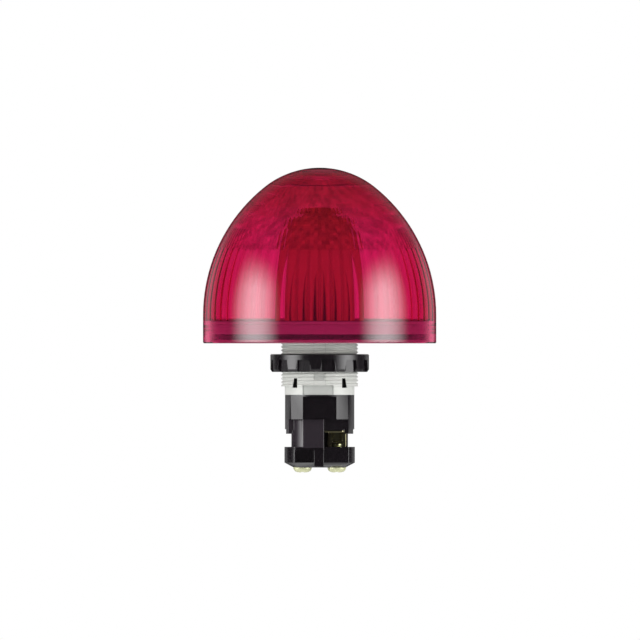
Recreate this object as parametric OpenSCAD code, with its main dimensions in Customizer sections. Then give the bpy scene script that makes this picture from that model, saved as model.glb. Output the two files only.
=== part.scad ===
// Panel pilot light with a jumbo dome lens, for a 22 mm panel hole.
// Z = 0 is the front face of the panel, +Z runs to the tip of the lens and -Y is the front.

/* [Dome lens] */
// Outside diameter of the lens
dome_d = 66; // [63:0.5:72]
// Height of the lens above the panel
dome_h = 49.7; // [47:0.1:54]
// Radius of the rounded tip
tip_r = 25; // [22:0.5:27]
// Height of the straight skirt
skirt_h = 8; // [7:0.5:11]
// Wall of the lens at its flutes
dome_wall = 2.5; // [2.2:0.1:3]
// Wall of the skirt where it screws on
skirt_wall = 1.8; // [1.5:0.1:2.1]
// Height of the ring where the flutes end and the prisms start
ring_z = 26.3; // [24:0.1:29]
// Extra wall of the prisms above that ring
ring_step = 0.5; // [0.3:0.1:0.8]

/* [Seals] */
// Thickness of the panel gasket
gasket_t = 2.5; // [1.8:0.1:3]
// Inside diameter of the panel gasket
gasket_id = 30.4; // [30:0.1:34]
// Section of the lens O-ring
oring_d = 1.2; // [1:0.05:1.4]

/* [Operator body] */
// Thickness of the flange that carries the lens
flange_t = 3.4; // [3:0.1:4.5]
// Depth of the dish in the flange's front
dish_h = 1.4; // [1:0.1:1.8]
// Outside diameter of the barrel's thread
barrel_d = 21.8; // [21.4:0.1:22]
// Lower end of the thread, below the panel
thread_len = 12.2; // [11.4:0.1:15]
// Outside diameter of the plain collar under the thread
collar_d = 19.7; // [19.3:0.1:20.1]
// Height of the collar
collar_h = 2.4; // [2:0.1:4]
// Bore of the barrel
barrel_bore_d = 16.6; // [16:0.1:17]
// Height of the ring that carries the diffuser
spigot_h = 4; // [3:0.1:6]

/* [Diffuser] */
// Outside diameter of the diffuser cap
diffuser_d = 22.5; // [22:0.1:24]
// Height of its tip above the panel
diffuser_top = 38; // [34:0.5:41]
// Wall of the diffuser
diffuser_wall = 1.2; // [0.8:0.1:1.4]

/* [Locking nut] */
// Wall of the nut, from its thread to its outside
nut_wall = 2.97; // [2.6:0.01:3.4]
// Height of the nut
nut_h = 5.05; // [4.6:0.05:6]
// Distance from the panel's front face to the nut
nut_drop = 3.05; // [1:0.05:3.5]
// Plain rim above the notches
nut_rim = 1.65; // [1.2:0.05:2.2]
// Number of notches
notch_count = 12; // [8:1:14]
// Depth of a notch
notch_depth = 0.95; // [0.6:0.05:1.2]

/* [Lamp block] */
// Outside diameter of the lamp block
block_d = 19.6; // [19.4:0.1:20.1]
// Height of the lamp block
block_h = 6.9; // [6.4:0.1:9]
// Length of the side legs below it
leg_len = 2.8; // [2.4:0.1:3.1]
// Length of the foot at the end of a leg
foot_len = 1.3; // [0.8:0.1:1.5]
// Height of the neck that stands in the barrel round the socket
neck_h = 5.6; // [5:0.1:6]

/* [Terminal block] */
// Diameter of the waist between the legs
waist_d = 17.1; // [16.9:0.1:17.3]
// Diameter of the base
base_d = 19.9; // [19.4:0.1:20.1]
// Height of the base
base_h = 5.85; // [5.6:0.05:8]
// Height of the part above the wire entries
crown_h = 3.15; // [3:0.05:3.4]
// Clear height of a wire entry
entry_h = 4.15; // [4.1:0.05:4.6]
// Bevel round the bottom edge, across
bevel_w = 2.65; // [2:0.05:3]
// Bevel round the bottom edge, upright
bevel_h = 1.4; // [1:0.1:2]

/* [Terminals] */
// Distance of a terminal screw from the middle plane
term_x = 4.85; // [4.7:0.05:5]
// Thickness of the brass strip
strip_t = 0.5; // [0.4:0.05:0.5]
// Thickness of the tapped leg
tapped_t = 1; // [0.8:0.05:1.2]
// Width of the saddle clamp
saddle_w = 3.5; // [3.3:0.1:3.7]
// Length of the saddle clamp along the wire
saddle_l = 4.2; // [3.6:0.1:4.4]
// Diameter of the terminal screw
screw_d = 3; // [2.8:0.1:3]
// Diameter of the screw's head
head_d = 5.3; // [5:0.1:5.4]
// Height of the screw's head
head_h = 2; // [1.8:0.1:2.2]
// Travel of the screw from open to tight
screw_travel = 1.5; // [1.2:0.1:1.6]

/* [Lamp and socket] */
// Diameter of the lamp's bayonet base
lamp_d = 9; // [8.8:0.1:9.1]
// Length of the metal base
lamp_base_h = 9.8; // [9:0.1:11]
// Length of the plastic sleeve above the base
sleeve_h = 14.5; // [12:0.5:16]
// Length of the lamp's lens cap
cap_h = 8; // [6.5:0.5:10]
// Turn of the bayonet, in degrees
bayonet_turn = 25; // [20:1:40]
// Diameter of a bayonet pin
pin_d = 1.1; // [0.9:0.1:1.2]
// Wall of the socket's shell
shell_wall = 0.4; // [0.3:0.05:0.5]
// Travel of the sprung contact
plunger_travel = 1.2; // [0.8:0.1:1.4]
// Wire of the contact spring
spring_wire = 0.5; // [0.4:0.05:0.6]

/* [Fits] */
// Radial gap of a part that turns in or on another
run_gap = 0.08; // [0.05:0.01:0.1]
// Gap round a part that is set into another
set_gap = 0.05; // [0.03:0.01:0.08]

/* [Hidden] */
$fn = 96;
eps = 0.01;
far = 40;

// Lens outline: a tip arc that runs into a shoulder arc, upright at the skirt
tip_z = dome_h - tip_r;
rise = tip_z - skirt_h;
shoulder_r = (pow(dome_d / 2, 2) - pow(tip_r, 2) + pow(rise, 2)) / (dome_d - 2 * tip_r);
shoulder_x = dome_d / 2 - shoulder_r;
join_a = atan2(rise, -shoulder_x);
arc_steps = 18;

// Flange, seals and barrel
skirt_bore_r = dome_d / 2 - skirt_wall;
flange_r = skirt_bore_r - run_gap;
flange_top = gasket_t + flange_t;
rebate_h = 0.7;
rebate_w = oring_d - run_gap;
oring_r = flange_r - rebate_w + oring_d / 2;
seal_z = flange_top - rebate_h;
lens_seat_z = seal_z + oring_d;
dish_z = flange_top - dish_h;
rim_w = 2.4;
dish_r = flange_r - rim_w;
barrel_r = barrel_d / 2;
bore_r = barrel_bore_d / 2;
collar_r = collar_d / 2;
collar_z = -thread_len - collar_h;
spigot_r = diffuser_d / 2 - diffuser_wall - set_gap;
latch_x = 6.35;
latch_w = 1.35;
latch_taper = 0.45;
latch_h = 2.7;
latch_back = 4;
latch_z = -thread_len - 0.4;
pad_left = 4.8;
pad_right = 3.9;
pad_d = 0.25;
mark_left = 1.7;
mark_right = 1.4;
mark_h = 1.7;
mark_drop = 0.6;
mark_d = 0.4;

// Locking nut
nut_bore_r = barrel_r + run_gap;
nut_r = nut_bore_r + nut_wall;
nut_edge = 0.5;
nut_z = -nut_drop - nut_h;
notch_pitch = 360 / notch_count;
notch_first = 10.5;

// Lamp block
block_r = block_d / 2;
block_z = collar_z - block_h;
neck_r = bore_r - set_gap;
panel_y = 8.1;
panel_w = 9.5;
leg_front = 5.6;
leg_back = 4.1;
leg_z = block_z - leg_len;
foot_z = leg_z - foot_len;
foot_r = block_r - 0.3;
catch_y = 3;
catch_h = 0.8;
catch_drop = 1.9;
catch_z = block_z - catch_drop;
catch_d = 0.45;

// Terminal block
waist_r = waist_d / 2;
leg_in_r = waist_r + set_gap;
hook_y = sqrt(pow(collar_r, 2) - pow(latch_x + latch_w, 2)) - 0.1;
base_r = base_d / 2;
strip_z = block_z - crown_h;
entry_top = strip_z - strip_t;
entry_z = entry_top - entry_h;
base_z = entry_z - base_h;
web_x = 1.2;
entry_back = 3;
entry_face = 5.6;
column_face = 7.15;
base_face = 6.9;
ridge_face = 7.5;
ridge_w = 3.2;
pocket_x = 2;
pocket_w = 4.7;
pocket_d = 1.2;
pocket_top = entry_z - 0.95;
pocket_bottom = base_z + bevel_h;
bevel_a = atan2(bevel_w, bevel_h);

// Terminals
strip_back = entry_back - set_gap;
strip_front = entry_face - 0.1;
strip_r = waist_r - set_gap;
tapped_w = 5.2;
tapped_front = 2.4;
tapped_z = entry_z - set_gap - tapped_t;
tail_in = 4.5;
tail_w = 1.2;
saddle_t = 0.5;
saddle_z = entry_z + 0.95;
saddle_top = entry_top - 0.25;
saddle_gap = 0.15;
neck_d = 1.4;
bend_r = 0.9;
rivet_d = saddle_w - 2 * bend_r + 0.2;
rivet_h = 0.25;
head_out = 1.4;
head_z = base_z - head_out;
head_top = head_z + head_h;
bore_screw_r = screw_d / 2 + 0.2;
pocket_screw_r = head_d / 2 + 0.2;
recess_w = 0.8;
recess_l = 3.2;
recess_d = 1.2;

// Lamp, from its bottom contact up
lamp_r = lamp_d / 2;
lamp_z = collar_z + 1.1;
tip_h = 0.4;
tip_low_r = 1.1;
tip_high_r = 1.6;
insulator_h = 0.8;
insulator_low_r = 1.8;
insulator_plug = 1.2;
base_bottom = lamp_z + tip_h + insulator_h;
base_top = base_bottom + lamp_base_h;
base_wall = 0.35;
pin_up = 6.8;
pin_z = lamp_z + pin_up;
pin_reach = lamp_r + 0.95;
pin_r = pin_d / 2;
sleeve_top = base_top + sleeve_h;
sleeve_r = lamp_r + 0.4;
sleeve_in = lamp_r - 1.5;
sleeve_step = 1.5;
sleeve_tail = 3;
board_t = 0.8;
cap_wall = 0.8;
cap_top = sleeve_top + cap_h;
chip = [1.6, 1.2, 0.6];
chip_ring = 2.4;

// Socket
shell_in = lamp_r + 0.1;
shell_out = shell_in + shell_wall;
shell_z = collar_z + 0.4;
shell_over = 2.2;
shell_top = pin_z + shell_over;
shell_flange_r = shell_out + 1.2;
guide_in = shell_in + set_gap;
slot_r = pin_r + run_gap;
disc_r = lamp_r - 0.1;
disc_t = 1.2;
rivet_top = lamp_z - 0.02;
rivet_head_r = 1.7;
disc_top = rivet_top - 0.2;
disc_z = disc_top - disc_t;
leaf_up = 2.1;
leaf_z = block_z + leaf_up;
spring_z = leaf_z + strip_t;
spring_r = 2.6;
spring_turns = 4;
spring_ring = 24;

// Points of an arc about [cx, cz], from angle a0 to a1
function arc(cx, cz, r, a0, a1) =
    [for (i = [0:arc_steps]) let (a = a0 + (a1 - a0) * i / arc_steps)
        [cx + r * cos(a), cz + r * sin(a)]];

// Angle at which the shoulder arc, moved in by w, reaches height z
function shoulder_a(w, z) = asin((z - skirt_h) / (shoulder_r - w));

// Tube from z0 to z1
module tube(r_out, r_in, z0, z1) {
    translate([0, 0, z0]) linear_extrude(z1 - z0) difference() {
        circle(r_out);
        circle(r_in);
    }
}

// Rod from z0 to z1
module rod(r, z0, z1) {
    translate([0, 0, z0]) cylinder(r = r, h = z1 - z0);
}

// Box between two corners
module box(a, b) {
    translate(a) cube(b - a);
}

// The two halves of the block are the same, half a turn apart
module twice() {
    for (a = [0, 180]) rotate(a) children();
}

module dome_lens() {
    upper = dome_wall + ring_step;
    outer = concat(arc(shoulder_x, skirt_h, shoulder_r, 0, join_a),
        arc(0, tip_z, tip_r, join_a, 90));
    prisms = concat(arc(0, tip_z, tip_r - upper, 90, join_a),
        arc(shoulder_x, skirt_h, shoulder_r - upper, join_a, shoulder_a(upper, ring_z)));
    flutes = arc(shoulder_x, skirt_h, shoulder_r - dome_wall, shoulder_a(dome_wall, ring_z), 0);
    color([0.72, 0.03, 0.1, 0.8]) rotate_extrude()
        polygon(concat([[skirt_bore_r, 0], [dome_d / 2, 0]], outer, prisms, flutes,
            [[dome_d / 2 - dome_wall, lens_seat_z], [skirt_bore_r, lens_seat_z]]));
}

module lens_oring() {
    color([0.06, 0.06, 0.07]) rotate_extrude()
        translate([oring_r, seal_z + oring_d / 2]) circle(oring_d / 2, $fn = 32);
}

module diffuser() {
    r_out = diffuser_d / 2;
    r_in = r_out - diffuser_wall;
    crown = diffuser_top - r_out;
    color([0.86, 0.2, 0.2, 0.9]) rotate_extrude()
        polygon(concat([[r_in, dish_z], [r_out, dish_z]], arc(0, crown, r_out, 0, 90),
            arc(0, crown, r_in, 90, 0)));
}

module panel_gasket() {
    color([0.05, 0.05, 0.06]) tube(flange_r, gasket_id / 2, 0, gasket_t);
}

// The four latch openings of the barrel, wider at the bottom, or the hooks that sit in them
module latches(reach, gap) {
    twice() for (side = [0, 1]) mirror([side, 0, 0])
        translate([latch_x, -latch_back, latch_z + gap]) rotate([90, 0, 0])
            linear_extrude(reach - latch_back)
                polygon([[gap, 0], [latch_w - gap, 0],
                    [latch_w - latch_taper - gap, latch_h - 2 * gap], [gap, latch_h - 2 * gap]]);
}

module operator_body() {
    color([0.74, 0.75, 0.72]) difference() {
        union() {
            tube(flange_r, bore_r, gasket_t, flange_top);
            tube(barrel_r, bore_r, -thread_len, gasket_t + eps);
            tube(collar_r, bore_r, collar_z, -thread_len + eps);
            tube(spigot_r, bore_r, dish_z, dish_z + spigot_h);
        }
        tube(dish_r, spigot_r, dish_z, flange_top + 1);
        tube(flange_r + 1, flange_r - rebate_w, seal_z, flange_top + 1);
        latches(barrel_r, 0);
        intersection() {
            tube(barrel_r + 1, collar_r - pad_d, collar_z + 0.1, -thread_len + 0.3);
            box([-pad_left, -far, collar_z], [pad_right, 0, 0]);
        }
        intersection() {
            tube(barrel_r + 1, barrel_r - mark_d, nut_z - mark_drop - mark_h, nut_z - mark_drop);
            box([-mark_left, -far, nut_z - mark_drop - mark_h - 1], [mark_right, 0, 0]);
        }
    }
}

module locking_nut() {
    notch_w = 2 * nut_r * sin(notch_pitch / 4);
    color([0.09, 0.09, 0.1]) difference() {
        tube(nut_r, nut_bore_r, nut_z, nut_z + nut_h);
        for (i = [0:notch_count - 1]) rotate(notch_first + i * notch_pitch)
            box([-notch_w / 2, -far, nut_z - 1],
                [notch_w / 2, -(nut_r - notch_depth), nut_z + nut_h - nut_rim]);
        translate([0, 0, nut_z]) rotate_extrude()
            polygon([[nut_r - nut_edge, -eps], [nut_r + 2 * nut_edge, -eps],
                [nut_r + 2 * nut_edge, 3 * nut_edge]]);
    }
}

// Slab of a ring wall between two values of y, on the +X side
module side_slab(r_out, r_in, z0, z1, y0, y1) {
    intersection() {
        tube(r_out, r_in, z0, z1);
        box([0, y0, z0], [far, y1, z1]);
    }
}

module lamp_block() {
    color([0.1, 0.1, 0.11]) difference() {
        union() {
            rod(block_r, block_z, collar_z);
            rod(neck_r, collar_z - eps, collar_z + neck_h);
            latches(hook_y, 0.15);
            twice() {
                side_slab(block_r, leg_in_r, leg_z, block_z + eps, -leg_front, leg_back);
                side_slab(foot_r, leg_in_r, foot_z, leg_z + eps, -leg_front + 0.8,
                    leg_back - 0.8);
            }
        }
        rod(shell_out + set_gap, collar_z - 1, collar_z + neck_h + 1);
        rod(shell_flange_r + set_gap, block_z - 1, shell_z + shell_wall);
        twice() {
            box([-panel_w / 2, -far, block_z - 1], [panel_w / 2, -panel_y, collar_z - 0.5]);
            box([0, -catch_y / 2 - set_gap, catch_z - set_gap],
                [waist_r + catch_d + set_gap, catch_y / 2 + set_gap,
                    catch_z + catch_h + set_gap]);
        }
    }
}

// Everything cut from one half of the terminal block
module terminal_cuts() {
    box([web_x, -far, entry_z], [far, entry_back, strip_z + set_gap]);
    box([web_x, -far, base_z - 1], [far, -entry_face, block_z - eps]);
    box([-far, -far, pocket_top], [web_x, -column_face, block_z - eps]);
    box([-far, -far, base_z - 1], [web_x, -ridge_face, pocket_top]);
    box([-far, -far, base_z - 1], [-ridge_w / 2, -base_face, pocket_top]);
    box([-pocket_x - pocket_w, -far, pocket_bottom],
        [-pocket_x, -base_face + pocket_d, pocket_top]);
    translate([0, -entry_face, pocket_bottom]) rotate([bevel_a, 0, 0])
        box([web_x, -far, -far], [far, 0, 0]);
    translate([0, -base_face, pocket_bottom]) rotate([bevel_a, 0, 0])
        box([-far, -far, -far], [web_x, 0, 0]);
    translate([term_x, 0, 0]) {
        rod(bore_screw_r, base_z, entry_z);
        rod(pocket_screw_r, base_z - 1, head_top + screw_travel + 0.1);
    }
    box([term_x - tapped_w / 2 - set_gap, -tapped_front - set_gap, tapped_z - set_gap],
        [term_x + tapped_w / 2 + set_gap, entry_back, entry_z + eps]);
    for (s = [-1, 1]) translate([term_x + s * (saddle_w - saddle_t) / 2, 0, 0])
        box([-saddle_t / 2 - saddle_gap, -saddle_l / 2 - saddle_gap, strip_z],
            [saddle_t / 2 + saddle_gap, saddle_l / 2 + saddle_gap,
                saddle_top + screw_travel + 0.2]);
    box([tail_in - set_gap, strip_back - tail_w - set_gap, strip_z],
        [tail_in + strip_t + set_gap, entry_back, shell_z + 1]);
}

module terminal_block() {
    guide_out = shell_flange_r;
    color([0.1, 0.1, 0.11]) difference() {
        union() {
            rod(waist_r, entry_z - 1, block_z);
            rod(base_r, base_z + bevel_h, entry_z);
            translate([0, 0, base_z]) cylinder(r1 = base_r - bevel_w, r2 = base_r, h = bevel_h);
            rod(guide_out, block_z - eps, shell_z);
            twice() side_slab(waist_r + catch_d, waist_r - 1, catch_z, catch_z + catch_h,
                -catch_y / 2, catch_y / 2);
        }
        twice() terminal_cuts();
        rod(guide_in, leaf_z, shell_z + 1);
        box([-tail_in - strip_t - set_gap, -entry_back, leaf_z],
            [0, -strip_back + tail_w + set_gap, shell_z + 1]);
    }
}

// Bayonet slots: down from the rim, then round to where the pins rest
module bayonet_slots() {
    slot_a = asin(slot_r / shell_out);
    twice() {
        translate([0, 0, pin_z - slot_r]) rotate([0, 0, -slot_a])
            rotate_extrude(angle = bayonet_turn + 2 * slot_a)
                translate([shell_in - 0.5, 0]) square([shell_wall + 1, 2 * slot_r]);
        rotate(bayonet_turn) box([shell_in - 0.5, -slot_r, pin_z], [shell_out + 1, slot_r, 0]);
    }
}

module socket_shell() {
    color([0.78, 0.77, 0.72]) difference() {
        union() {
            tube(shell_out, shell_in, shell_z, shell_top);
            tube(shell_flange_r, shell_in, shell_z, shell_z + shell_wall);
        }
        bayonet_slots();
    }
}

module contact_plunger() {
    color([0.9, 0.88, 0.82]) tube(disc_r, 0.9, disc_z, disc_top);
}

module plunger_rivet() {
    color([0.8, 0.65, 0.3]) {
        rod(0.9, disc_z - 0.5, rivet_top);
        tube(rivet_head_r, 0.9 - eps, disc_top, rivet_top);
    }
}

// Compression spring: a round wire swept along a helix
module contact_spring() {
    r = spring_wire / 2;
    sides = 8;
    rings = spring_turns * spring_ring;
    climb = disc_z - spring_z - spring_wire;
    points = [for (i = [0:rings], j = [0:sides - 1])
        let (a = i * 360 / spring_ring, b = j * 360 / sides, q = spring_r + r * cos(b))
            [q * cos(a), q * sin(a), spring_z + r + climb * i / rings + r * sin(b)]];
    walls = [for (i = [0:rings - 1], j = [0:sides - 1]) let (k = (j + 1) % sides)
        [i * sides + j, i * sides + k, (i + 1) * sides + k, (i + 1) * sides + j]];
    ends = [[for (j = [sides - 1:-1:0]) j], [for (j = [0:sides - 1]) rings * sides + j]];
    color([0.7, 0.7, 0.72]) polyhedron(points, concat(walls, ends));
}

// Bent brass strip: a clamping leg above, a back and a tapped leg below
module terminal_strip() {
    difference() {
        union() {
            intersection() {
                box([web_x + set_gap, -strip_front, entry_top], [far, strip_back, strip_z]);
                rod(strip_r, entry_top - 1, strip_z + 1);
            }
            box([term_x - tapped_w / 2, strip_back - strip_t, tapped_z],
                [term_x + tapped_w / 2, strip_back, strip_z]);
            box([term_x - tapped_w / 2, -tapped_front, tapped_z],
                [term_x + tapped_w / 2, strip_back, tapped_z + tapped_t]);
        }
        translate([term_x, 0, 0]) {
            rod(screw_d / 2 + run_gap, tapped_z - 1, tapped_z + tapped_t + 1);
            for (s = [-1, 1]) translate([s * (saddle_w - saddle_t) / 2, 0, 0])
                box([-saddle_t / 2 - saddle_gap, -saddle_l / 2 - saddle_gap, entry_top - 1],
                    [saddle_t / 2 + saddle_gap, saddle_l / 2 + saddle_gap, strip_z + 1]);
        }
    }
}

// The front terminal's tail feeds the shell
module terminal_front() {
    color([0.8, 0.72, 0.45]) {
        terminal_strip();
        box([tail_in, strip_back - tail_w, strip_z - eps], [tail_in + strip_t, strip_back, shell_z]);
    }
}

// The back terminal's tail carries the leaf under the contact spring
module terminal_back() {
    color([0.8, 0.72, 0.45]) {
        rotate(180) terminal_strip();
        box([-tail_in - strip_t, -strip_back, strip_z - eps],
            [-tail_in, -strip_back + tail_w, spring_z]);
        box([-tail_in - eps, -strip_back, leaf_z], [0, -strip_back + tail_w, spring_z]);
        rod(spring_r + 0.6, leaf_z, spring_z);
    }
}

// Channel bent from strip, open at the top
module channel_outline(w, r) {
    square_h = saddle_top - saddle_z - r;
    translate([-w / 2, r]) square([w, square_h]);
    translate([r - w / 2, 0]) square([w - 2 * r, r + eps]);
    for (s = [-1, 1]) translate([s * (w / 2 - r), r]) circle(r, $fn = 48);
}

module saddle() {
    translate([term_x, 0, saddle_z]) difference() {
        translate([0, saddle_l / 2, 0]) rotate([90, 0, 0]) linear_extrude(saddle_l)
            difference() {
                channel_outline(saddle_w, bend_r);
                translate([0, saddle_t])
                    channel_outline(saddle_w - 2 * saddle_t, bend_r - saddle_t);
            }
        rod(neck_d / 2 + run_gap, -1, 2);
    }
}

module saddle_front() {
    color([0.82, 0.74, 0.5]) saddle();
}

module saddle_back() {
    color([0.82, 0.74, 0.5]) rotate(180) saddle();
}

// Pan head, shank and a riveted end that carries the saddle
module screw() {
    end_gap = 0.03;
    translate([term_x, 0, 0]) difference() {
        union() {
            rod(head_d / 2, head_z + 0.7, head_top);
            translate([0, 0, head_z])
                cylinder(r1 = head_d / 2 - 0.6, r2 = head_d / 2, h = 0.7 + eps);
            rod(screw_d / 2, head_top - eps, saddle_z - end_gap);
            rod(neck_d / 2, saddle_z - 0.1, saddle_z + saddle_t + end_gap + rivet_h);
            rod(rivet_d / 2, saddle_z + saddle_t + end_gap,
                saddle_z + saddle_t + end_gap + rivet_h);
        }
        for (a = [0, 90]) rotate(a) box([-recess_l / 2, -recess_w / 2, head_z - 1],
            [recess_l / 2, recess_w / 2, head_z + recess_d]);
    }
}

module screw_front() {
    color([0.85, 0.82, 0.6]) screw();
}

module screw_back() {
    color([0.85, 0.82, 0.6]) rotate(180) screw();
}

module lamp_shell() {
    color([0.8, 0.8, 0.78]) {
        tube(lamp_r, lamp_r - base_wall, base_bottom, base_top);
        twice() translate([lamp_r - base_wall, 0, pin_z]) rotate([0, 90, 0])
            cylinder(r = pin_r, h = pin_reach - lamp_r + base_wall);
    }
}

module lamp_insulator() {
    color([0.08, 0.08, 0.1]) {
        translate([0, 0, lamp_z + tip_h])
            cylinder(r1 = insulator_low_r, r2 = lamp_r - 0.4, h = insulator_h + eps);
        rod(lamp_r - base_wall, base_bottom, base_bottom + insulator_plug);
    }
}

module lamp_tip() {
    color([0.75, 0.75, 0.77]) translate([0, 0, lamp_z])
        cylinder(r1 = tip_low_r, r2 = tip_high_r, h = tip_h);
}

module lamp_sleeve() {
    rim = sleeve_r - cap_wall;
    color([0.93, 0.92, 0.88]) {
        tube(sleeve_r, sleeve_in, base_top, sleeve_top - sleeve_step);
        tube(rim, sleeve_in, sleeve_top - sleeve_step - eps, sleeve_top);
        tube(lamp_r - base_wall, sleeve_in, base_top - sleeve_tail, base_top + eps);
    }
}

module lamp_board() {
    color([0.1, 0.35, 0.2]) rod(sleeve_r - cap_wall, sleeve_top, sleeve_top + board_t);
}

module lamp_leds() {
    base = sleeve_top + board_t;
    color([0.95, 0.85, 0.5]) {
        translate([-chip[0] / 2, -chip[1] / 2, base]) cube(chip);
        for (a = [45:90:315]) rotate(a)
            translate([chip_ring - chip[0] / 2, -chip[1] / 2, base]) cube(chip);
    }
}

module lamp_cap() {
    crown = cap_top - sleeve_r;
    color([0.85, 0.12, 0.12, 0.8]) rotate_extrude()
        polygon(concat([[sleeve_r - cap_wall, sleeve_top - sleeve_step],
            [sleeve_r, sleeve_top - sleeve_step]],
            arc(0, crown, sleeve_r, 0, 90), arc(0, crown, sleeve_r - cap_wall, 90, 0)));
}

dome_lens();
lens_oring();
diffuser();
panel_gasket();
operator_body();
locking_nut();
lamp_block();
terminal_block();
socket_shell();
contact_plunger();
plunger_rivet();
contact_spring();
terminal_front();
terminal_back();
saddle_front();
saddle_back();
screw_front();
screw_back();
lamp_shell();
lamp_insulator();
lamp_tip();
lamp_sleeve();
lamp_board();
lamp_leds();
lamp_cap();
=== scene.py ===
import math
import bmesh
import bpy
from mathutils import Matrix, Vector


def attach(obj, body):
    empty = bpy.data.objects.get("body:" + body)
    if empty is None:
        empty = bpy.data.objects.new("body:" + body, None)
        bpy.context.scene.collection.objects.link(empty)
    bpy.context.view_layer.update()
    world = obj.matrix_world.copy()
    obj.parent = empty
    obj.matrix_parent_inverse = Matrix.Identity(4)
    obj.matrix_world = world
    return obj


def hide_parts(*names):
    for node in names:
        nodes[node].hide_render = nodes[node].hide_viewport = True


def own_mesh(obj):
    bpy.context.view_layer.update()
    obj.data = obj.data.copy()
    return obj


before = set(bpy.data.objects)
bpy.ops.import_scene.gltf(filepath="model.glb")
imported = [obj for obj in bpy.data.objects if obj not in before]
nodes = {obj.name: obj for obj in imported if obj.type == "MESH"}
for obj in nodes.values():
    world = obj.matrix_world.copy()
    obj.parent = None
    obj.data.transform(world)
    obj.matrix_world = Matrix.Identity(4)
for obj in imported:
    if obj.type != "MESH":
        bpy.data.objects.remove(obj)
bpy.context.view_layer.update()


# The studio: a white surround, tall soft boxes at both sides and a darkened room behind the camera.
# The surround lights dull surfaces evenly, and polished ones mirror the boxes and the dark room.
class Wire:
    """One value, colour or vector on its way between nodes; sums on it add Math nodes."""

    def __init__(self, tree, socket=None):
        self.tree, self.socket = tree, socket

    def add(self, kind, settings=None, sockets=None, out=0):
        node = self.tree.nodes.new(kind)
        for name, value in (settings or {}).items():
            setattr(node, name, value)
        for name, value in (sockets or {}).items():
            if isinstance(value, Wire):
                self.tree.links.new(value.socket, node.inputs[name])
            else:
                node.inputs[name].default_value = value
        return Wire(self.tree, node.outputs[out])

    def maths(self, operation, *values):
        return self.add("ShaderNodeMath", {"operation": operation}, dict(enumerate(values)))

    def __add__(self, other):
        return self.maths("ADD", self, other)

    def __sub__(self, other):
        return self.maths("SUBTRACT", self, other)

    def __mul__(self, other):
        return self.maths("MULTIPLY", self, other)

    __radd__, __rmul__ = __add__, __mul__

    def __rsub__(self, other):
        return self.maths("SUBTRACT", other, self)

    def __abs__(self):
        return self.maths("ABSOLUTE", self)

    def split(self):
        """The X, Y and Z of this vector."""
        parts = self.add("ShaderNodeSeparateXYZ", sockets={0: self}).socket.node.outputs
        return [Wire(self.tree, part) for part in parts]

    def rise(self, low, high):
        """0 below low, 1 above high, and a smooth step between."""
        return self.add("ShaderNodeMapRange", {"interpolation_type": "SMOOTHSTEP"},
                        {"Value": self, "From Min": low, "From Max": high})

    def blend(self, first, second):
        """The first colour where this value is 0, the second where it is 1."""
        return self.add("ShaderNodeMix", {"data_type": "RGBA"}, {0: self, 6: first, 7: second}, 2)


WHITE = (1, 1, 1, 1)
SOFT_BOX, ROOM, UNDER, WINDOW, VEIL, BACKDROP = 6.8, 0.03, 0.9, 0.4, 0.08, 0.92
DULL, INSIDE = 0.88, 1.5
LAMP_SIDE, LAMP_FRONT, LAMP_Z, LAMP_AIM_Z, LAMP_POWER = 0.45, -0.28, -0.05, -0.03, 1.3
FLOOR_Z, FLOOR_GREY, VIEW_WIDTH = -0.13, 0.9, 0.1811

world = bpy.data.worlds.new("studio")
bpy.context.scene.world = world
world.use_nodes = True
world.cycles.sampling_method = "NONE"
sky = Wire(world.node_tree)
towards = sky.add("ShaderNodeTexCoord")
side, depth, up = towards.split()
box_mask = (abs(side).rise(0.62, 0.93) * (1 - depth.rise(-0.38, 0.20))
            * up.rise(-0.60, -0.45) * (1 - up.rise(0.22, 0.60)))
boxes = ROOM + box_mask * SOFT_BOX + (1 - up.rise(-0.75, -0.45)) * UNDER
window = depth.rise(0.52, 0.84) * (1 - depth.rise(0.88, 0.96)) * (1 - up.rise(0.06, 0.36) * 0.8)
mirrored = boxes + window * WINDOW
through = boxes + VEIL + depth.rise(-0.1, 0.45) * BACKDROP
seen = sky.add("ShaderNodeLightPath", out=0)
glossy = sky.add("ShaderNodeLightPath", out=3)
passed = sky.add("ShaderNodeLightPath", out=6)
scattered = sky.add("ShaderNodeLightPath", out=9).rise(0.2, 0.8)
within = through + scattered * (INSIDE - through)
level = seen + (1 - seen) * (passed * within + (1 - passed) * (glossy * mirrored + (1 - glossy) * DULL))
output = world.node_tree.nodes["World Output"]
background = sky.add("ShaderNodeBackground", sockets={"Color": WHITE, "Strength": level})
world.node_tree.links.new(background.socket, output.inputs["Surface"])

for x in (-LAMP_SIDE, LAMP_SIDE):
    lamp = bpy.data.lights.new("side lamp", "AREA")
    lamp.shape, lamp.size, lamp.size_y, lamp.energy = "RECTANGLE", 0.3, 0.5, LAMP_POWER
    holder = bpy.data.objects.new("side lamp", lamp)
    bpy.context.scene.collection.objects.link(holder)
    holder.location = (x, LAMP_FRONT, LAMP_Z)
    holder.rotation_euler = Vector((x, LAMP_FRONT, LAMP_AIM_Z)).to_track_quat("Z", "Y").to_euler()
    holder.visible_glossy = holder.visible_transmission = False

bpy.ops.object.select_all(action="DESELECT")
bpy.ops.mesh.primitive_plane_add(size=6, location=(0, 0, FLOOR_Z))
floor = bpy.context.object
floor.name = "floor"
floor.visible_glossy = floor.visible_transmission = False
floor_paint = bpy.data.materials.new("floor paint")
floor_paint.use_nodes = True
surface = floor_paint.node_tree.nodes["Principled BSDF"]
surface.inputs["Base Color"].default_value = (FLOOR_GREY, FLOOR_GREY, FLOOR_GREY, 1)
surface.inputs["Roughness"].default_value = 0.9
floor.data.materials.append(floor_paint)

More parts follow.
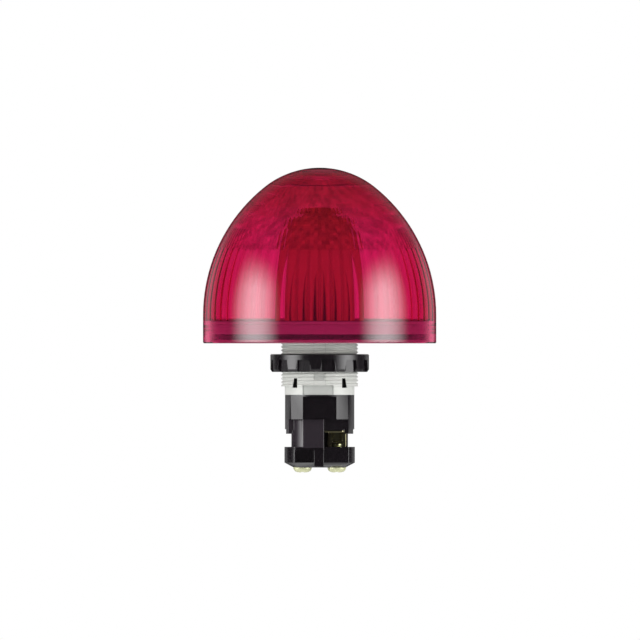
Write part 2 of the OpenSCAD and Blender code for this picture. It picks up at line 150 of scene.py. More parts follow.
camera = bpy.data.cameras.new("camera")
camera.type, camera.ortho_scale, camera.clip_end = "ORTHO", VIEW_WIDTH, 10
camera_holder = bpy.data.objects.new("camera", camera)
bpy.context.scene.collection.objects.link(camera_holder)
camera_holder.location = (0.0001, -1.2, 0.0066)
camera_holder.rotation_euler = (math.pi / 2, 0, 0)
bpy.context.scene.camera = camera_holder
bpy.context.scene.view_settings.view_transform = "Standard"


# The operator body: one moulding of light grey glass-filled nylon. Its flange carries the lens on a coarse
# thread, its threaded barrel goes through the panel, and the collar below takes the lamp block's hooks.
MM = 0.001
TURN = 2 * math.pi
BARREL_R, COLLAR_R, BORE_R, FLANGE_R = 10.9, 9.85, 8.3, 31.12
BARREL_LOW, COLLAR_LOW, BARREL_PITCH, THREAD_DEEP = -12.2, -14.6, 1.0, 0.45
LENS_PITCH, LENS_THREAD = 1.05, 0.05
LATCH_X, LATCH_Z, LATCH_LEAN = (6.35, 7.7), (-12.6, -9.9), 0.45
PAD_X, PAD_Z, PAD_FLOOR_R = (-4.8, 3.9), (-14.5, -11.9), 9.6
MARK_X, MARK_Z, MARK_FLOOR_R = (-1.7, 1.4), (-10.35, -8.65), 10.5


def rank(corners):
    """A number for an edge or a face, from the places of its first three corners in the mesh."""
    first, second, third = (sorted(corner.index for corner in corners) + [0])[:3]
    return (first * 1e5 + second) * 1e5 + third


def turned(name, outline, steps, closed=True):
    """A body of revolution: the outline is drawn corner by corner and spun once round Z. Its edges and
    faces are put in a fixed order, since the spin leaves them in a new one each run."""
    bpy.ops.object.select_all(action="DESELECT")
    bpy.ops.mesh.primitive_plane_add(size=MM, location=(0, 0, 0))
    piece = bpy.context.object
    piece.name = name
    bpy.ops.object.mode_set(mode="EDIT")
    bpy.ops.mesh.merge(type="CENTER")
    corners = [Vector((r * MM, 0, z * MM)) for r, z in outline]
    bpy.ops.transform.translate(value=corners[0])
    for here, there in zip(corners, corners[1:]):
        bpy.ops.mesh.extrude_region_move(TRANSFORM_OT_translate={"value": there - here})
    if closed:
        bpy.ops.mesh.extrude_region_move(TRANSFORM_OT_translate={"value": corners[0] - corners[-1]})
    bpy.ops.mesh.select_all(action="SELECT")
    bpy.ops.mesh.remove_doubles(threshold=1e-6)
    bpy.ops.mesh.spin(steps=steps, angle=TURN, center=(0, 0, 0), axis=(0, 0, 1))
    bpy.ops.mesh.select_all(action="SELECT")
    bpy.ops.mesh.remove_doubles(threshold=2e-6)
    bpy.ops.mesh.normals_make_consistent(inside=False)
    mesh = bmesh.from_edit_mesh(piece.data)
    mesh.verts.index_update()
    mesh.edges.sort(key=lambda edge: rank(edge.verts))
    mesh.faces.sort(key=lambda face: rank(face.verts))
    bmesh.update_edit_mesh(piece.data)
    bpy.ops.object.mode_set(mode="OBJECT")
    return piece


def across(value):
    """Where a value lies in its own cell of 1, from -1 to 1."""
    return 2 * (value % 1) - 1


def thread_depth(turn, z, pitch):
    """A right-hand thread: 0 on the crest, 1 in the root, by angle and height."""
    return min(max((abs(across(z / pitch - turn / TURN)) - 0.2) / 0.6, 0), 1)


def rethread(piece, low, high, r_low, r_high, pitch, depth):
    """Runs a thread along a plain wall between two heights and two radii; depth is negative inwards."""
    for vertex in piece.data.vertices:
        x, y, z = (c / MM for c in vertex.co)
        r, turn = math.hypot(x, y), math.atan2(y, x) % TURN
        if low < z < high and r_low < r < r_high:
            grown = r + depth * thread_depth(turn, z, pitch) * min(1, (z - low) / 0.4, (high - z) / 0.4)
            vertex.co.x, vertex.co.y = x * grown / r * MM, y * grown / r * MM


def recess(piece, cutters):
    """Cuts the given blocks out of a piece."""
    for cutter in cutters:
        cut = piece.modifiers.new("cut", "BOOLEAN")
        cut.operation, cut.solver, cut.object = "DIFFERENCE", "EXACT", cutter
        bpy.ops.object.select_all(action="DESELECT")
        bpy.context.view_layer.objects.active = piece
        bpy.ops.object.modifier_apply(modifier="cut")
        bpy.data.objects.remove(cutter)


def block(low, high, turn=0.0):
    """A cutting block between two corners in mm, turned about Z."""
    bpy.ops.object.select_all(action="DESELECT")
    low, high = Vector(low) * MM, Vector(high) * MM
    bpy.ops.mesh.primitive_cube_add(size=1, location=(low + high) / 2, scale=high - low)
    cutter = bpy.context.object
    bpy.ops.object.transform_apply(location=True, rotation=False, scale=True)
    cutter.rotation_euler.z = turn
    bpy.ops.object.transform_apply(location=False, rotation=True, scale=False)
    return cutter


def ring_part(r_low, r_high, low, high):
    """A cutting block that leaves the round wall under it: low and high bound it, r_low is the floor."""
    ring = turned("ring", [(r_low, low[2]), (r_low, high[2]), (r_high, high[2]), (r_high, low[2])], 96)
    cut = ring.modifiers.new("keep", "BOOLEAN")
    cut.operation, cut.solver, cut.object = "INTERSECT", "EXACT", block(low, high)
    bpy.context.view_layer.objects.active = ring
    bounding = cut.object
    bpy.ops.object.modifier_apply(modifier="keep")
    bpy.data.objects.remove(bounding)
    return ring


def ease(piece, width, angle=35, segments=2, smooth=30):
    """Breaks the sharp edges of a piece with a small radius, and shades its curves smooth."""
    bpy.ops.object.select_all(action="DESELECT")
    piece.select_set(True)
    bpy.context.view_layer.objects.active = piece
    bevel = piece.modifiers.new("ease", "BEVEL")
    bevel.width, bevel.segments, bevel.limit_method = width * MM, segments, "ANGLE"
    bevel.angle_limit, bevel.miter_outer = math.radians(angle), "MITER_ARC"
    bpy.ops.object.modifier_apply(modifier="ease")
    bpy.ops.object.shade_smooth_by_angle(angle=math.radians(smooth))


def paint(name):
    """A new material: its object coordinates, its Principled node and the wires to work with."""
    material = bpy.data.materials.new(name)
    material.use_nodes = True
    wire = Wire(material.node_tree)
    place = wire.add("ShaderNodeTexCoord", out=3)
    return material, wire, place, material.node_tree.nodes["Principled BSDF"]


def grain(wire, place, scale, detail=3.0, rough=0.5):
    """Noise from 0 to 1 on the piece, scale in cells per metre."""
    return wire.add("ShaderNodeTexNoise", sockets={"Vector": place, "Scale": scale, "Detail": detail,
                                                   "Roughness": rough})


def feed(node, **values):
    """Sets or links a node's sockets, with _ for a space in a socket's name."""
    for name, value in values.items():
        socket = node.inputs[name.replace("_", " ")]
        if isinstance(value, Wire):
            value.tree.links.new(value.socket, socket)
        else:
            socket.default_value = value


def bump(wire, height, strength=0.25, relief=0.00002):
    """A shading normal raised by a height from 0 to 1; relief is its full height in metres."""
    return wire.add("ShaderNodeBump", sockets={"Strength": strength, "Distance": relief, "Height": height})


def eroded(wire, place):
    """The normal of a moulding's skin, with the fine texture of a spark-eroded mould."""
    return bump(wire, grain(wire, place, 5000, 4, 0.6))


def moulded(name, colour, shade, roughness):
    """Moulded plastic: slight mottle in the colour, a fine spark-eroded texture and uneven gloss."""
    material, wire, place, skin = paint(name)
    feed(skin, Base_Color=grain(wire, place, 300).blend((*shade, 1), (*colour, 1)),
         Roughness=roughness + 0.10 * (grain(wire, place, 1500) - 0.5), Normal=eroded(wire, place))
    return material


def fit(piece, body, node, material):
    """Puts a finished piece in place of its CAD node."""
    piece.data.materials.clear()
    piece.data.materials.append(material)
    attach(piece, body)
    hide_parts(node)


def between(value, low, high, soft):
    """1 where a value lies between two others, with soft ends."""
    return value.rise(low - soft, low) * (1 - value.rise(high, high + soft))


SHARP = 0.03 * MM
body_grey, wire, place, skin = paint("body grey")
x, y, height = place.split()
front = 1 - y.rise(-0.0076, -0.0074)
pad, mark = (between(x, left * MM, right * MM, SHARP) * between(height, low * MM, high * MM, SHARP) * front
             for (left, right), (low, high) in ((PAD_X, PAD_Z), (MARK_X, MARK_Z)))
parting = between(abs(x), 0.00157, 0.00165, 0.00005) * abs(y).rise(0.0098, 0.0100)
# The pad and mark recesses are painted darker, as painted shade in them; the parting groove is drawn darker
# too.
recess_shade_and_parting_line = (pad + mark) * 0.75 + parting * 0.4
pale = grain(wire, place, 300).blend((0.62, 0.63, 0.60, 1), (0.68, 0.69, 0.66, 1))
feed(skin, Base_Color=recess_shade_and_parting_line.blend(pale, (0.40, 0.41, 0.39, 1)),
     Roughness=0.38 + 0.10 * grain(wire, place, 1500), Normal=eroded(wire, place))
outline = [(BORE_R, COLLAR_LOW), (BORE_R, 8.2), (8.6, 8.5), (9.7, 8.5), (10.0, 8.2), (10.0, 4.75),
           (10.25, 4.5), (28.5, 4.5), (28.72, 4.72), (28.72, 5.7), (28.92, 5.9), (29.85, 5.9), (30.0, 5.75),
           (30.0, 5.2), (31.0, 5.2), (FLANGE_R, 5.08)]
outline += [(FLANGE_R, 5.0 - 2.3 * i / 20) for i in range(21)]
outline += [(FLANGE_R, 2.6), (31.02, 2.5), (11.4, 2.5), (11.05, 2.4), (BARREL_R, 2.1)]
outline += [(BARREL_R, -12.1 * i / 96) for i in range(97)]
outline += [(10.85, BARREL_LOW), (9.95, BARREL_LOW), (COLLAR_R, -12.3), (COLLAR_R, -14.5),
            (9.75, COLLAR_LOW)]
body = turned("threaded_body", outline, 192)
rethread(body, -12.05, 1.9, 10.8, 11.0, BARREL_PITCH, -THREAD_DEEP)
rethread(body, 2.62, 5.06, 31.1, 31.2, LENS_PITCH, -LENS_THREAD)
openings = []
for turn in (0, math.pi):
    for hand in (-1, 1):
        low_x, high_x = sorted(hand * x for x in LATCH_X)
        cutter = block((low_x, -12, LATCH_Z[0]), (high_x, -4, LATCH_Z[1]))
        for vertex in cutter.data.vertices:
            outer, upper = abs(vertex.co.x) > sum(LATCH_X) / 2 * MM, vertex.co.z > sum(LATCH_Z) / 2 * MM
            if outer and upper:
                vertex.co.x -= hand * LATCH_LEAN * MM
        bpy.ops.object.select_all(action="DESELECT")
        cutter.rotation_euler.z = turn
        cutter.select_set(True)
        bpy.ops.object.transform_apply(location=False, rotation=True, scale=False)
        openings.append(cutter)
pockets = [ring_part(floor_r, 12, (left, -12, low), (right, -5, high)) for floor_r, (left, right), (low, high)
           in ((PAD_FLOOR_R, PAD_X, PAD_Z), (MARK_FLOOR_R, MARK_X, MARK_Z))]
parting_groove = block((1.55, -11.5, -12.1), (1.7, -10.35, 2.3))
recess(body, openings + pockets + [parting_groove])
ease(body, 0.07, 50, 1)
fit(body, "operator", "operator_body", body_grey)


# The panel gasket: a flat ring of black nitrile rubber between the flange and the panel, with a pale band
# painted round its foot for the light from below that shines up through the lens skirt. It is held by the
# barrel passing through it.
seal_rubber, wire, place, skin = paint("seal rubber")
height = place.split()[2]
# Painted light: the pale band below 1 mm stands in for light from below shining up through the lens skirt.
painted_glow_band = 1 - height.rise(0.0009, 0.0011)
rubber = grain(wire, place, 700).blend((0.005, 0.004, 0.005, 1), (0.009, 0.007, 0.008, 1))
feed(skin, Base_Color=painted_glow_band.blend(rubber, (0.68, 0.62, 0.60, 1)), Roughness=0.22 + 0.4 * painted_glow_band,
     Normal=bump(wire, grain(wire, place, 6000), 0.2, 0.00001))
gasket = turned("gasket", [(15.2, 0.1), (15.2, 2.4), (15.3, 2.5), (31.0, 2.5), (31.1, 2.4), (31.1, 1.4),
                           (31.1, 0.9), (31.1, 0.1), (31.0, 0.0), (15.3, 0.0)], 240)
bpy.ops.object.shade_smooth_by_angle(angle=math.radians(30))
fit(gasket, "operator", "panel_gasket", seal_rubber)


# The diffuser: a tall cap of milky amber-red acrylic over the lamp, pushed on the flange's spigot. Twenty
# narrow grooves run up it from the foot and die out below the round crown.
DIFFUSER_R, DIFFUSER_WALL, DIFFUSER_FOOT, CROWN_Z = 11.25, 1.2, 4.5, 26.75
GROOVES, GROOVE_DEEP, GROOVE_SHARE, GROOVE_END, GROOVE_FADE = 20, 0.4, 0.14, 25, 12


def arc(centre_x, centre_z, radius, start, end, steps):
    """Points of an arc in the plane of X and Z, both ends included."""
    return [(centre_x + radius * math.cos(start + (end - start) * i / steps),
             centre_z + radius * math.sin(start + (end - start) * i / steps)) for i in range(steps + 1)]


edge_z = DIFFUSER_FOOT + 0.15
outline = [(DIFFUSER_R - DIFFUSER_WALL, DIFFUSER_FOOT), (DIFFUSER_R - 0.15, DIFFUSER_FOOT)]
outline += [(DIFFUSER_R, edge_z + (CROWN_Z - edge_z) * i / 24) for i in range(24)]
outline += arc(0, CROWN_Z, DIFFUSER_R, 0, math.pi / 2, 20)
outline += arc(0, CROWN_Z, DIFFUSER_R - DIFFUSER_WALL, math.pi / 2, 0, 20)
diffuser = turned("grooved_diffuser", outline, 240)
for vertex in diffuser.data.vertices:
    x, y, z = (c / MM for c in vertex.co)
    r, turn = math.hypot(x, y), math.atan2(y, x) % TURN
    if r > DIFFUSER_R - 0.1 and 4.7 < z < GROOVE_END:
        groove = max(0, abs(across(turn / TURN * GROOVES + 0.5)) - (1 - GROOVE_SHARE)) / GROOVE_SHARE
        r -= GROOVE_DEEP * groove * min(1, (GROOVE_END - z) / GROOVE_FADE)
        vertex.co.x, vertex.co.y = r * math.cos(turn) * MM, r * math.sin(turn) * MM
bpy.ops.object.shade_smooth_by_angle(angle=math.radians(40))
diffuser_red, wire, place, skin = paint("diffuser red")
x, y, height = place.split()
cell = wire.maths("FRACT", wire.maths("ARCTAN2", y, x) * (GROOVES / TURN) + (GROOVES + 0.5))
# The grooves are painted near black, narrowing upwards, as painted shade in them.
groove = (abs(cell * 2 - 1) - height * 9).rise(0.76, 0.88) * (1 - height.rise(0.018, 0.0225))
milk = grain(wire, place, 260).blend((0.93, 0.66, 0.28, 1), (0.97, 0.72, 0.32, 1))
feed(skin, Base_Color=groove.blend(milk, (0.05, 0.02, 0.02, 1)),
     Roughness=0.45 + 0.1 * grain(wire, place, 1500))
fit(diffuser, "operator", "diffuser", diffuser_red)


# The lens O-ring: a cord of translucent silicone in the rebate at the flange's front edge. The lens
# squeezes it as it screws home.
def dress(material, *names):
    """Gives a material to CAD nodes that keep their own shape."""
    for name in names:
        for held in nodes[name].material_slots:
            held.material = material


dress(moulded("silicone", (0.74, 0.72, 0.70), (0.68, 0.66, 0.64), 0.4), "lens_oring")


# The dome lens: one moulding of clear red polycarbonate. Outside it is smooth; inside it has upright
# flutes, rings of small prisms over them, and a coarse thread in the skirt that screws on the flange.
DOME_R, SKIRT_BORE_R, SEAT_Z, SKIRT_TOP = 33.0, 31.2, 6.4, 8.0
TIP_R, TIP_Z, WALL, RING_Z = 25.0, 24.7, 2.5, 26.3
RISE = TIP_Z - SKIRT_TOP
SHOULDER_R = (DOME_R ** 2 - TIP_R ** 2 + RISE ** 2) / (2 * (DOME_R - TIP_R))
SHOULDER_X = DOME_R - SHOULDER_R
JOIN = math.atan2(RISE, -SHOULDER_X)
FLUTES, FLUTE_DEEP, FLUTE_FADE_Z, FLUTE_LOSS = 60, 0.16, 17.7, 0.06
PRISM_ROWS = (RING_Z, 32.0, 35.7, 38.4, 41.0, 43.3, 45.4, 46.6)
FIRST_PILLOW, FIRST_STEP, ROW_PILLOW, ROW_STEP, TIP_RIPPLE, TIP_WAVE = 0.07, 0.15, 0.05, 0.14, 0.03, 0.84
PEBBLE_COLUMNS, PEBBLE_COURSES = 2.5 * FLUTES, 830


def shoulder_at(inset, z):
    """The angle at which the shoulder's arc, moved in by inset, reaches height z."""
    return math.asin((z - SKIRT_TOP) / (SHOULDER_R - inset))


def dome_point(inset, z):
    """Radius of the dome's outline, moved in by inset, at height z."""
    join_z = SKIRT_TOP + (SHOULDER_R - inset) * math.sin(JOIN)
    if z < join_z:
        return SHOULDER_X + (SHOULDER_R - inset) * math.cos(shoulder_at(inset, z))
    return math.sqrt(max((TIP_R - inset) ** 2 - (z - TIP_Z) ** 2, 0))


def pillow(u, power=2):
    """Height of a rounded rib at u from -1 to 1 across it: 1 in the middle, 0 at the edges."""
    return 1 - abs(u) ** power


def lens_relief(turn, z):
    """How far the inside of the dome stands in from its base surface, by angle and height."""
    cell = turn / TURN * FLUTES
    if z < RING_Z:
        fade = max(z - FLUTE_FADE_Z, 0) / (RING_Z - FLUTE_FADE_Z)
        return (FLUTE_DEEP - FLUTE_LOSS * fade) * pillow(across(cell))
    cell *= 2
    for row, (low, high) in enumerate(zip(PRISM_ROWS, PRISM_ROWS[1:])):
        if z < high:
            v = (z - low) / (high - low)
            if row == 0:
                return FIRST_PILLOW * pillow(across(cell)) + FIRST_STEP * (1 - v)
            bulge = pillow(across(cell + 0.5 * (row % 2))) * pillow(2 * v - 1, 4)
            return ROW_PILLOW * bulge + ROW_STEP * (1 - v)
    return TIP_RIPPLE * math.cos(TURN * (z - PRISM_ROWS[-1]) / TIP_WAVE)


outer = arc(SHOULDER_X, SKIRT_TOP, SHOULDER_R, 0, JOIN, 20)[:-1]
outer += arc(0, TIP_Z, TIP_R, JOIN, math.pi / 2, 20)
courses = [(SEAT_Z, FLUTE_FADE_Z, 6, 6), (FLUTE_FADE_Z, RING_Z - 0.02, 8, 9), (RING_Z, PRISM_ROWS[1], 8, 8)]
courses += [(low, high, 6, 6) for low, high in zip(PRISM_ROWS[1:], PRISM_ROWS[2:])]
inner = []
for low, high, steps, points in courses:
    heights = [low + (high - low) * i / steps for i in range(points)]
    inner += [(dome_point(WALL, z), z) for z in heights]
tip_start = math.asin((PRISM_ROWS[-1] - TIP_Z) / (TIP_R - WALL))
inner += arc(0, TIP_Z, TIP_R - WALL, tip_start, math.pi / 2, 24)
skirt = [(DOME_R, 0.35), (DOME_R - 0.12, 0.1), (DOME_R - 0.35, 0)]
skirt += [(SKIRT_BORE_R + 0.3, 0), (SKIRT_BORE_R, 0.3)]
skirt += [(SKIRT_BORE_R, 0.3 + 5.95 * i / 34) for i in range(1, 35)]
skirt += [(SKIRT_BORE_R, SEAT_Z)]
lens = turned("lens", outer[::-1] + skirt + inner, 480, closed=False)
for vertex in lens.data.vertices:
    x, y, z = (c / MM for c in vertex.co)
    r, turn = math.hypot(x, y), math.atan2(y, x) % TURN
    if z < SEAT_Z - 0.01:
        if r < SKIRT_BORE_R + 0.1 and 2.4 < z < 5.9:
            wave = math.cos(TURN * (z / LENS_PITCH - turn / TURN))
            r += LENS_THREAD * max(wave, 0) * min(1, (z - 2.4) / 0.5, (5.9 - z) / 0.5)
    elif z < SKIRT_TOP + (SHOULDER_R - WALL) * math.sin(JOIN):
        depth_in = SHOULDER_R - math.hypot(r - SHOULDER_X, z - SKIRT_TOP)
        if depth_in > 1 and r < dome_point(WALL, SEAT_Z) + 0.2:
            shift = lens_relief(turn, z)
            away = Vector((r - SHOULDER_X, z - SKIRT_TOP)).normalized()
            r, z = r - away.x * shift, z - away.y * shift
    else:
        depth_in = TIP_R - math.hypot(r, z - TIP_Z)
        if depth_in > 1:
            shift = lens_relief(turn, z)
            away = Vector((r, z - TIP_Z)).normalized()
            r, z = r - away.x * shift, z - away.y * shift
    vertex.co = (r * math.cos(turn) * MM, r * math.sin(turn) * MM, z * MM)
bpy.ops.object.shade_smooth_by_angle(angle=math.radians(24))

lens_red, wire, place, shell = paint("lens red")
x, y, height = place.split()
turn = wire.maths("ARCTAN2", y, x)
cell = wire.maths("FRACT", turn * (FLUTES / TURN) + FLUTES)
# Dark strokes along the flute edges are painted shade, standing in for the shade seen through them.
flute_edge_shade = abs(cell * 2 - 1).rise(0.45, 1.0) * height.rise(0.0062, 0.0066)
# The dark band at the lens seat is a painted shadow of the O-ring's gap there.
seat_gap_shadow = height.rise(0.00612, 0.00622) * (1 - height.rise(0.00638, 0.00648))
column = wire.maths("FLOOR", turn * (PEBBLE_COLUMNS / TURN) + 3 * FLUTES)
course = wire.maths("FLOOR", height * PEBBLE_COURSES)
spot = wire.add("ShaderNodeCombineXYZ", sockets={0: column, 1: course})
# Each pebble cell gets a random lighter or darker tint: painted glints and shade of the light the pebbled
# relief refracts.
pebble_glints_and_shade = wire.add("ShaderNodeTexWhiteNoise", {"noise_dimensions": "3D"}, {"Vector": spot})
clear = grain(wire, place, 220, 2).blend((0.81, 0.40, 0.60, 1), (0.825, 0.42, 0.62, 1))
fluted = (flute_edge_shade * 0.55 + seat_gap_shadow * 0.8).blend(clear, (0.50, 0.22, 0.34, 1))
low_prisms = pebble_glints_and_shade.blend((0.46, 0.27, 0.33, 1), (0.90, 0.50, 0.66, 1))
# The upper prisms are painted darker and browner, and the top of the dome darker still: painted shade towards
# the top.
shaded_high_prisms = pebble_glints_and_shade.blend((0.36, 0.28, 0.20, 1), (0.74, 0.50, 0.42, 1))
prisms = height.rise(0.030, 0.043).blend(low_prisms, shaded_high_prisms)
prisms = height.rise(0.0483, 0.0493).blend(prisms, (0.25, 0.14, 0.14, 1))
feed(shell, Base_Color=height.rise(0.0262, 0.0264).blend(fluted, prisms),
     Roughness=0.035 + 0.03 * grain(wire, place, 900), Transmission_Weight=1.0, IOR=1.585)
soak = wire.add("ShaderNodeVolumeAbsorption", sockets={"Color": (0.885, 0.02, 0.483, 1), "Density": 600.0})
lens_red.node_tree.links.new(soak.socket, lens_red.node_tree.nodes["Material Output"].inputs["Volume"])
fit(lens, "lens", "dome_lens", lens_red)


# The locking nut: glass-filled nylon in black, with twelve notches for a spanner under a plain rim. It
# runs up the barrel's thread from behind and clamps the panel against the gasket.
NUT_R, NUT_HIGH, NUT_LOW, NUT_BORE_R = 13.95, -3.05, -8.1, 10.98
NOTCHES, NOTCH_TURN, NOTCH_HALF, NOTCH_FLOOR_R, NOTCH_TOP, NOTCH_ROUND = 12, 10.5, 7.5, 13.0, -4.7, 0.45


def round_edges(piece, wanted, width, segments=4):
    """Rounds the edges whose two ends, in mm, pass the test."""
    bpy.ops.object.select_all(action="DESELECT")
    bpy.context.view_layer.objects.active = piece
    piece.select_set(True)
    bpy.ops.object.mode_set(mode="EDIT")
    bpy.ops.mesh.select_mode(type="EDGE")
    bpy.ops.mesh.select_all(action="DESELECT")
    mesh = bmesh.from_edit_mesh(piece.data)
    for edge in mesh.edges:
        first, second = (vertex.co / MM for vertex in edge.verts)
        edge.select_set(wanted(first, second))
    bmesh.update_edit_mesh(piece.data)
    bpy.ops.mesh.bevel(offset=width * MM, segments=segments, affect="EDGES", clamp_overlap=True)
    bpy.ops.mesh.select_mode(type="VERT")
    bpy.ops.object.mode_set(mode="OBJECT")


nut_black = moulded("nut black", (0.011, 0.009, 0.011), (0.008, 0.006, 0.008), 0.22)
outline = [(11.5, NUT_LOW), (NUT_BORE_R, -7.6)] + [(NUT_BORE_R, -7.6 + 4.05 * i / 36) for i in range(1, 36)]
outline += [(NUT_BORE_R, -3.55), (11.5, NUT_HIGH), (13.7, NUT_HIGH), (NUT_R, -3.3), (NUT_R, -7.35),
            (13.45, NUT_LOW)]
nut = turned("notched_nut", outline, 72)
half = NUT_R * math.sin(math.radians(NOTCH_HALF))
recess(nut, [block((-half, -16, -9), (half, -NOTCH_FLOOR_R, NOTCH_TOP),
                   math.radians(NOTCH_TURN + 360 / NOTCHES * i)) for i in range(NOTCHES)])


def tooth_edge(a, b):
    """Whether an edge is one of the upright edges of the teeth on the nut's outer wall."""
    upright = abs(a.z - b.z) > 1.5 and (a.xy - b.xy).length < 0.05
    cell = (math.atan2(a.y, a.x) + math.pi / 2) / TURN * NOTCHES - NOTCH_TURN * NOTCHES / 360
    return upright and min(a.xy.length, b.xy.length) > NUT_R - 0.1 and abs(abs(across(cell)) - 0.5) < 0.03


round_edges(nut, tooth_edge, NOTCH_ROUND, 6)
ease(nut, 0.1, 35, 2)
weigh = nut.modifiers.new("weigh", "WEIGHTED_NORMAL")
weigh.weight, weigh.keep_sharp = 100, True
bpy.ops.object.modifier_apply(modifier="weigh")
rethread(nut, -7.7, -3.45, 10.9, 11.1, BARREL_PITCH, 0.4)
fit(nut, "nut", "locking_nut", nut_black)


# The lamp block: black glass-filled polyester with flats at its corners. Its neck stands in the barrel round
# the lamp socket, four hooks snap in the collar's openings, and two legs grip the terminal block. A plain
# raised frame stands in the recess at its front.
def solid_copy(node, name, shape=None, flat=1.5):
    """A copy of a CAD node to work on: its loose triangles joined and its flat faces made whole."""
    piece = nodes[node].copy()
    piece.data = nodes[node].data.copy()
    piece.name, piece.parent = name, None
    piece.data.materials.clear()
    bpy.context.scene.collection.objects.link(piece)
    bpy.ops.object.select_all(action="DESELECT")
    piece.select_set(True)
    bpy.context.view_layer.objects.active = piece
    bpy.ops.object.mode_set(mode="EDIT")
    bpy.ops.mesh.select_all(action="SELECT")
    bpy.ops.mesh.customdata_custom_splitnormals_clear()
    bpy.ops.mesh.remove_doubles(threshold=2e-6)
    bpy.ops.object.mode_set(mode="OBJECT")
    if shape:
        for vertex in piece.data.vertices:
            shape(vertex.co)
    bpy.ops.object.mode_set(mode="EDIT")
    bpy.ops.mesh.select_all(action="SELECT")
    bpy.ops.mesh.dissolve_limited(angle_limit=math.radians(flat))
    bpy.ops.object.mode_set(mode="OBJECT")
    return piece


def corner_flats(point):
    """Draws the round wall of the block on to two flats at each corner."""
    r, turn = math.hypot(point.x, point.y) / MM, math.atan2(abs(point.x), abs(point.y))
    if 9.4 < r < 9.85 and point.z < -14.5 * MM:
        reach, lean = (9.6, math.radians(41)) if turn < math.radians(56.5) else (9.58, math.radians(71))
        if math.radians(28) < turn < math.radians(84):
            grown = reach / math.cos(turn - lean) / 9.8
            point.x, point.y = point.x * grown, point.y * grown


block_black, wire, place, skin = paint("block black")
x, y, height = place.split()
window_side = x.rise(0.00119, 0.00121) * (1 - y.rise(-0.001, 0.001))
# Between heights of -29.5 and -21.6 mm the black is made lighter, except on the window's side.
lighter_band = between(height, -0.0295, -0.0216, 0.0001) * (1 - window_side)
black = grain(wire, place, 300).blend((0.006, 0.004, 0.006, 1), (0.009, 0.007, 0.009, 1))
feed(skin, Base_Color=lighter_band.blend(black, (0.026, 0.020, 0.026, 1)),
     Roughness=0.19 + 0.10 * grain(wire, place, 1500), Normal=eroded(wire, place))
piece = solid_copy("lamp_block", "upper_block", corner_flats)
ease(piece, 0.14, 20, 2, 15)
frame_bars = [block((x_low, -8.22, z_low), (x_high, -7.8, z_high)) for x_low, x_high, z_low, z_high in
              ((-2.4, -2.2, -20.0, -17.4), (2.0, 2.2, -20.0, -17.4), (-2.2, 2.0, -20.0, -19.8),
               (-2.2, 2.0, -17.6, -17.4))]
fit(piece, "operator", "lamp_block", block_black)
bpy.ops.object.select_all(action="DESELECT")
for bar in frame_bars:
    bar.select_set(True)
bpy.context.view_layer.objects.active = frame_bars[0]
bpy.ops.object.join()
label_frame = frame_bars[0]
label_frame.name = "label_frame"
ease(label_frame, 0.04)
label_frame.data.materials.append(block_black)
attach(label_frame, "operator")


# The lamp socket: a nickel-plated brass shell with bayonet slots, held in the lamp block by its flange.
def metal(name, colour, shade, roughness):
    """Plated or drawn metal with a slight tarnish and fine scratches."""
    material, wire, place, skin = paint(name)
    tarnish = grain(wire, place, 900)
    feed(skin, Base_Color=tarnish.blend((*shade, 1), (*colour, 1)), Metallic=1.0,
         Roughness=roughness + 0.15 * (grain(wire, place, 3500) - 0.5),
         Normal=bump(wire, grain(wire, place, 9000), 0.2, 0.00001))
    return material


nickel = metal("nickel", (0.72, 0.70, 0.66), (0.62, 0.60, 0.56), 0.28)
dress(nickel, "socket_shell", "lamp_shell", "lamp_tip")


# The terminal block: the same black polyester, with a flat column and two wire entries, and a bevelled base
# that the screws pass through. Its waist slides up between the legs until the catches click.
piece = solid_copy("terminal_block", "lower_block")
corners = [(-1.6, -7.5), (1.2, -7.5), (1.2, -7.15), (-7.17, -6.9), (8.22, -5.6)]
corners += [(-x, -y) for x, y in corners]
round_edges(piece, lambda a, b: abs(a.z - b.z) > 0.8 and (a.xy - b.xy).length < 0.05
            and any((a.xy - Vector(corner)).length < 0.2 for corner in corners), width=0.3)
ease(piece, 0.12)
fit(piece, "operator", "terminal_block", block_black)


# The terminals: brass strips punched and bent to an L, one leg tapped for the screw, the other soldered to
# the socket; and a saddle of folded brass under each screw, which lifts to clamp the wire.
brass = metal("brass", (0.56, 0.52, 0.32), (0.44, 0.40, 0.24), 0.13)
for node, name, rides, width in (("terminal_{}", "{}_strip", "operator", 0.15),
                                 ("saddle_{}", "{}_saddle", "clamp_{}", 0.08)):
    for hand in ("front", "back"):
        piece = solid_copy(node.format(hand), name.format(hand))
        ease(piece, width, 35, 3)
        fit(piece, rides.format(hand), node.format(hand), brass)


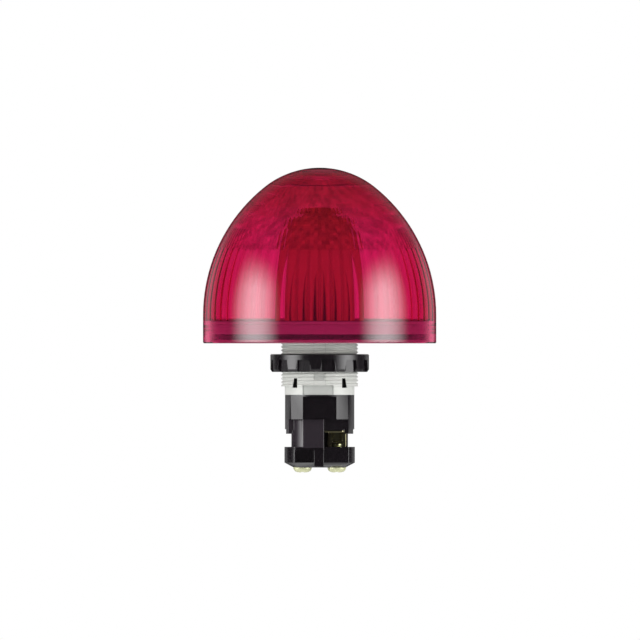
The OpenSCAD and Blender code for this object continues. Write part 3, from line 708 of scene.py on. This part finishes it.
# The terminal screws: M3 pan heads with a cross recess, turned and rolled from steel and zinc plated with a
# yellow passivation. The end is riveted over in the saddle, which it carries.
SCREW_X, SCREW_PITCH, SCREW_DEEP, SLOT_HALF, SLOT_LONG, SLOT_FLOOR = 4.85, 0.5, 0.28, 0.4, 1.6, -35.35
screw_zinc, wire, place, skin = paint("screw zinc")
head = 1 - place.split()[2].rise(-0.0346, -0.0343)
tarnish = grain(wire, place, 900).blend((0.60, 0.62, 0.36, 1), (0.72, 0.73, 0.48, 1))
feed(skin, Base_Color=tarnish, Metallic=1 - 0.72 * head, Roughness=0.34 + 0.12 * grain(wire, place, 2500),
     Normal=bump(wire, grain(wire, place, 9000), 0.2, 0.00001))
outline = [(0, -36.55), (0.8, -36.54), (1.5, -36.46), (2.0, -36.26), (2.35, -35.95), (2.56, -35.55),
           (2.65, -35.05), (2.65, -34.65), (2.55, -34.55), (1.5, -34.55)]
outline += [(1.5, -34.5 + 6.0 * i / 72) for i in range(73)]
outline += [(1.3, -28.38), (0.7, -28.38), (0.7, -27.82), (0.95, -27.82), (0.95, -27.65), (0.8, -27.57),
            (0, -27.57)]
for hand, x in (("front", SCREW_X), ("back", -SCREW_X)):
    screw = turned(hand + "_screw", outline, 48, closed=False)
    rethread(screw, -34.4, -28.6, 1.45, 1.55, SCREW_PITCH, -SCREW_DEEP)
    recess(screw, [block((-a, -b, -37), (a, b, SLOT_FLOOR))
                   for a, b in ((SLOT_LONG, SLOT_HALF), (SLOT_HALF, SLOT_LONG))])
    for vertex in screw.data.vertices:
        vertex.co.x += x * MM
    ease(screw, 0.06, 40, 2)
    fit(screw, "driver_" + hand, "screw_" + hand, screw_zinc)


# The socket's centre contact: a fibre plunger on a brass rivet, pushed up against the lamp by a spring of
# coiled steel wire, which stands on the back terminal's leaf and shortens as the plunger goes down.
dress(brass, "plunger_rivet")
dress(moulded("fibre", (0.75, 0.70, 0.58), (0.68, 0.62, 0.5), 0.7), "contact_plunger")
piece = solid_copy("contact_spring", "coil_spring", flat=0.1)
bpy.ops.object.shade_smooth_by_angle(angle=math.radians(50))
spring_steel = metal("spring steel", (0.62, 0.62, 0.62), (0.5, 0.5, 0.5), 0.3)
fit(piece, "operator", "contact_spring", spring_steel)
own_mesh(piece)


# The lamp: a nickelled bayonet shell closed by a black insulator with a solder tip, a white sleeve, a green
# board with yellow chips on top, and a small red cap over them.
dress(block_black, "lamp_insulator")
dress(moulded("sleeve white", (0.80, 0.78, 0.72), (0.76, 0.74, 0.68), 0.5), "lamp_sleeve")
dress(moulded("board green", (0.03, 0.16, 0.06), (0.02, 0.12, 0.05), 0.4), "lamp_board")
dress(moulded("led yellow", (0.85, 0.68, 0.2), (0.8, 0.62, 0.18), 0.4), "lamp_leds")
dress(moulded("cap red", (0.6, 0.03, 0.04), (0.5, 0.025, 0.03), 0.2), "lamp_cap")
